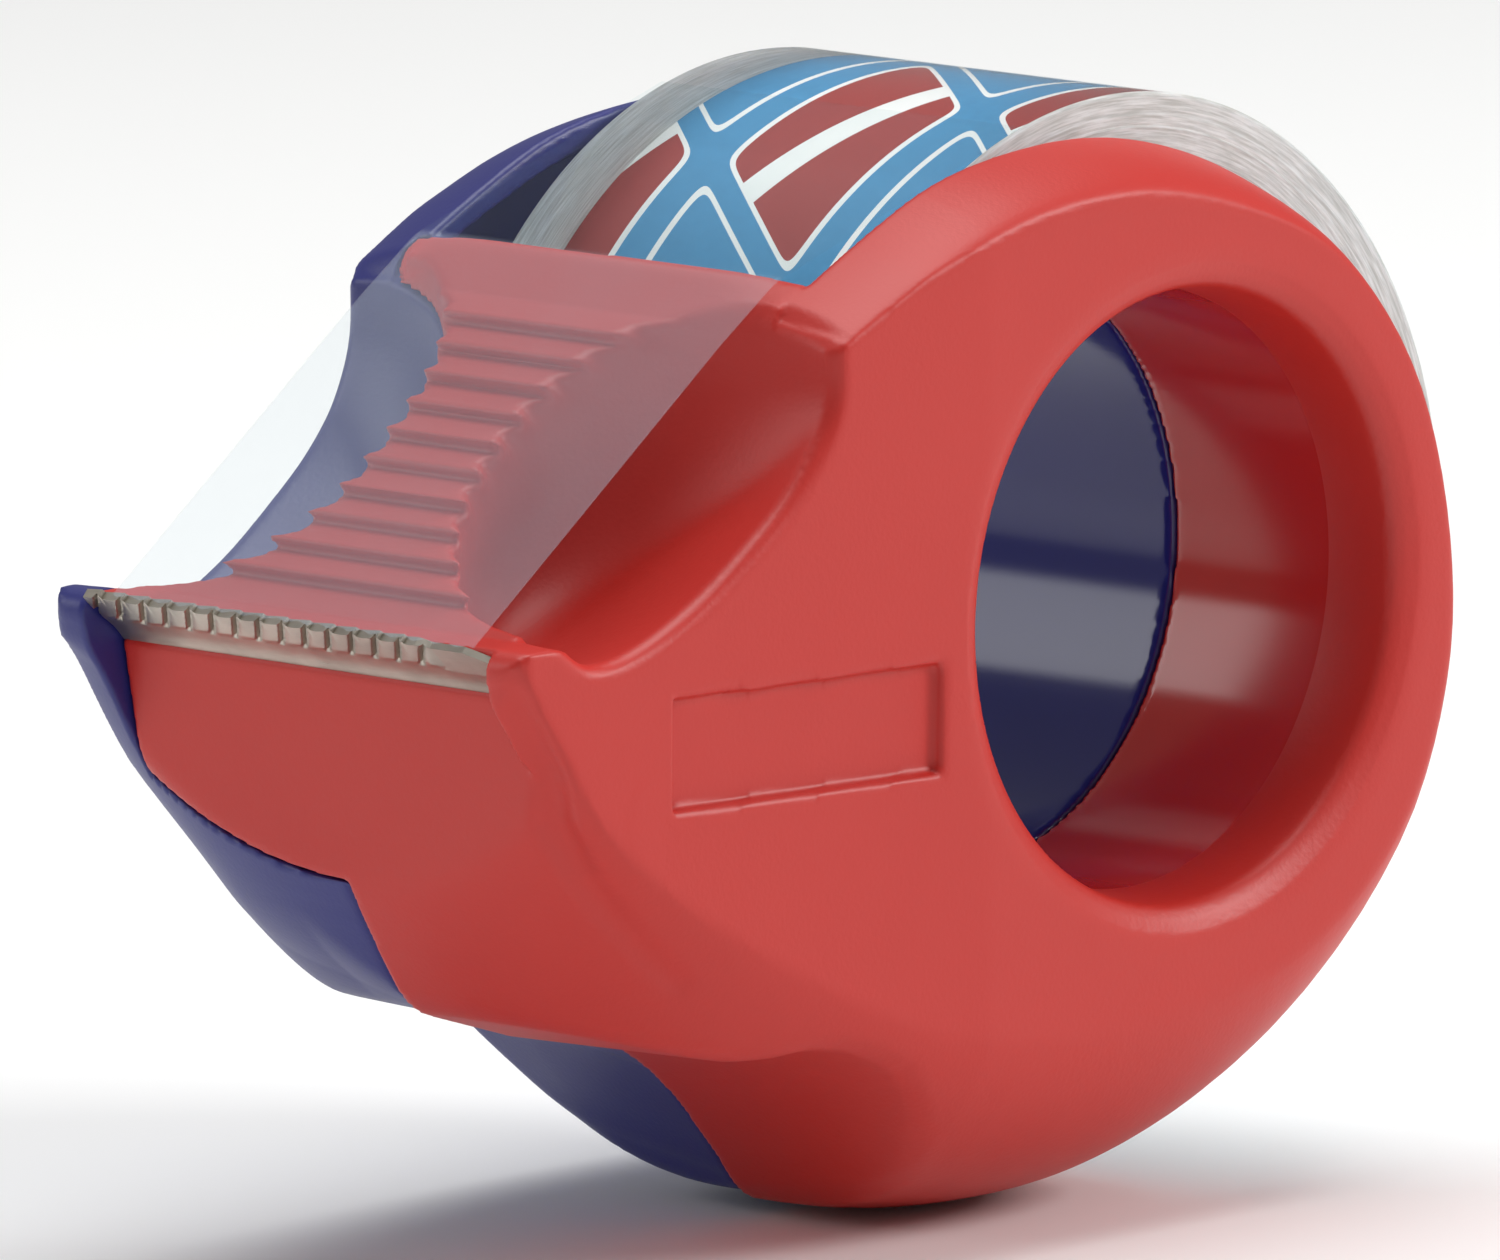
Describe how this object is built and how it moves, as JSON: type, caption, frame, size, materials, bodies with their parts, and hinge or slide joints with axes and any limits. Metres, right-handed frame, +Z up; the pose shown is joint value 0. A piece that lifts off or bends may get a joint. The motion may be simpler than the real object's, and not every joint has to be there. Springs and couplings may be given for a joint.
{
  "type": "tape dispenser",
  "caption": "Hand tape dispenser: housing and pull-off cover on a finger-hole hub that carries a roll of clear tape, with a ribbed guide and a serrated blade.",
  "frame": {"origin": "on the axis of the finger hole, which is the roll's axis, midway across the roll", "axes": "+Y along the finger hole from the red housing to the blue cover, -X towards the blade, +Z up with the nose raised as it is held"},
  "size_m": [0.0571, 0.0276, 0.0442],
  "materials": {
    "red_plastic": "fine eroded texture",
    "blue_plastic": "satin",
    "blade_steel": "stamped",
    "core_plastic": "matt",
    "label_print": "printed",
    "wound_film": "clear, frosted ends",
    "single_film": "clear"
  },
  "bodies": {
    "housing": {"red_shell": "red_plastic", "cutter_blade": "blade_steel"},
    "cover": {"blue_shell": "blue_plastic"},
    "lead": {"tape_lead": "single_film"},
    "roll": {"core": "core_plastic", "core_label": "label_print", "tape_winding": "wound_film"}
  },
  "joints": [
    {"name": "cover_pull", "type": "slide", "parent": "housing", "child": "cover", "axis": [0, 1, 0], "range_m": [0, 0.04]},
    {"name": "roll_lift", "type": "slide", "parent": "housing", "child": "lead", "axis": [0, 1, 0], "range_m": [0, 0.02]},
    {"name": "roll_spin", "type": "hinge", "parent": "lead", "child": "roll", "pos_m": [0, 0, 0], "axis": [0, 1, 0], "continuous": true}
  ],
  "couplings": [
    {"joint": "roll_lift", "follows": "cover_pull", "ratio": 0.5}
  ]
}
